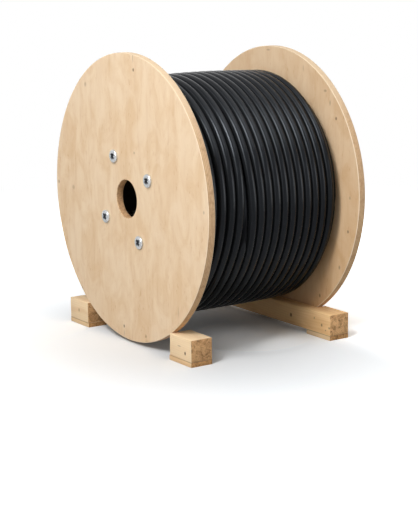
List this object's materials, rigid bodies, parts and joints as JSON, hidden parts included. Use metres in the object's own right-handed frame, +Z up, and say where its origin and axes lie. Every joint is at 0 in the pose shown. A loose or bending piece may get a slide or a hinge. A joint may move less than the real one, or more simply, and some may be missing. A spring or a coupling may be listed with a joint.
{
  "type": "wooden cable drum",
  "caption": "Plywood drum full of black power cable, held together by tie bolts and standing on timber blocks and a notched bearer.",
  "frame": {"origin": "on the floor, under the middle of the drum", "axes": "+Y along the drum's axis from the front flange, with the bolt heads, to the rear one; +Z up; +X to the right seen from the front"},
  "size_m": [0.5999, 0.4, 0.6056],
  "materials": {
    "flange_plywood": "raw softwood plywood, sanded",
    "stave_timber": "raw sawn softwood",
    "bearer_timber": "raw planed softwood, darker end grain",
    "foot_timber": "raw planed softwood",
    "cable_sheath": "black extruded cable sheath, satin",
    "zinc_plated_steel": "bright zinc plate"
  },
  "bodies": {
    "root": {"cable": "cable_sheath", "cap_nuts": "zinc_plated_steel", "front_bearer": "bearer_timber", "front_flange": "flange_plywood", "front_left_foot": "foot_timber", "front_right_foot": "foot_timber", "rear_bearer": "bearer_timber", "rear_flange": "flange_plywood", "rear_left_foot": "foot_timber", "rear_right_foot": "foot_timber", "stave_01": "stave_timber", "stave_02": "stave_timber", "stave_03": "stave_timber", "stave_04": "stave_timber", "stave_05": "stave_timber", "stave_06": "stave_timber", "stave_07": "stave_timber", "stave_08": "stave_timber", "stave_09": "stave_timber", "stave_10": "stave_timber", "stave_11": "stave_timber", "stave_12": "stave_timber", "tie_bolt_1": "zinc_plated_steel", "tie_bolt_2": "zinc_plated_steel", "tie_bolt_3": "zinc_plated_steel", "tie_bolt_4": "zinc_plated_steel"}
  },
  "joints": []
}
